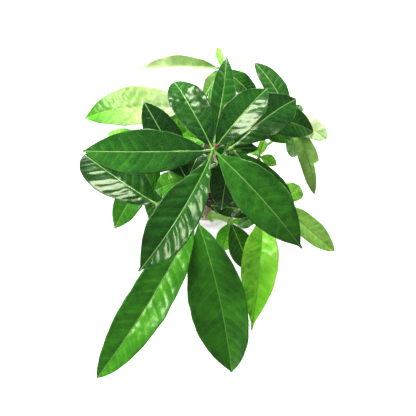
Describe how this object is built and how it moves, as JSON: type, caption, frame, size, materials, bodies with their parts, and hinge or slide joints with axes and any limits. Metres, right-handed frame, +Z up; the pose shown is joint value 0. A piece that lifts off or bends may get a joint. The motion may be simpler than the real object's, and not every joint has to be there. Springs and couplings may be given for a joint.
{
  "type": "potted money tree",
  "caption": "House plant with a braided woody trunk and glossy hand-shaped leaves, standing in soil in a plain tapered glazed pot.",
  "frame": {"origin": "centre of the pot's flat foot", "axes": "+Z up, -Y towards the side that the crown leans to, +X to the right seen from that side"},
  "size_m": [0.3115, 0.4141, 0.4403],
  "materials": {
    "pot_glaze": "smooth white glaze",
    "soil": "loose, dark and matt",
    "bark": "rough bark, pinkish tan where cut",
    "green_stem": "smooth green skin",
    "leaf_deep": "waxy gloss, deep green",
    "leaf": "waxy gloss, green",
    "leaf_bright": "waxy gloss, bright green",
    "leaf_pale": "soft sheen, pale green",
    "leaf_young": "soft gloss, yellow-green"
  },
  "bodies": {
    "root": {"pot": "pot_glaze", "soil": "soil", "stem_1": "bark", "stem_2": "bark", "stem_3": "bark", "shoot_middle": "green_stem", "shoot_right": "green_stem", "shoot_left": "green_stem", "leaf_top": "leaf_deep", "leaf_under_top": "leaf_deep", "leaf_back_upper": "leaf", "leaf_right_upper": "leaf", "leaf_far_right": "leaf_pale", "leaf_far_back": "leaf_pale", "leaf_far_left": "leaf_bright", "leaf_left_upper": "leaf_deep", "leaf_left_low": "leaf_bright", "leaf_left_front": "leaf", "leaf_front_long": "leaf", "leaf_right_front": "leaf_bright", "leaf_right_low": "leaf_pale", "leaf_inner_front": "leaf", "leaf_inner_back": "leaf_bright", "young_leaf_right": "leaf_young", "young_shoot_front": "leaf_young"}
  },
  "joints": []
}
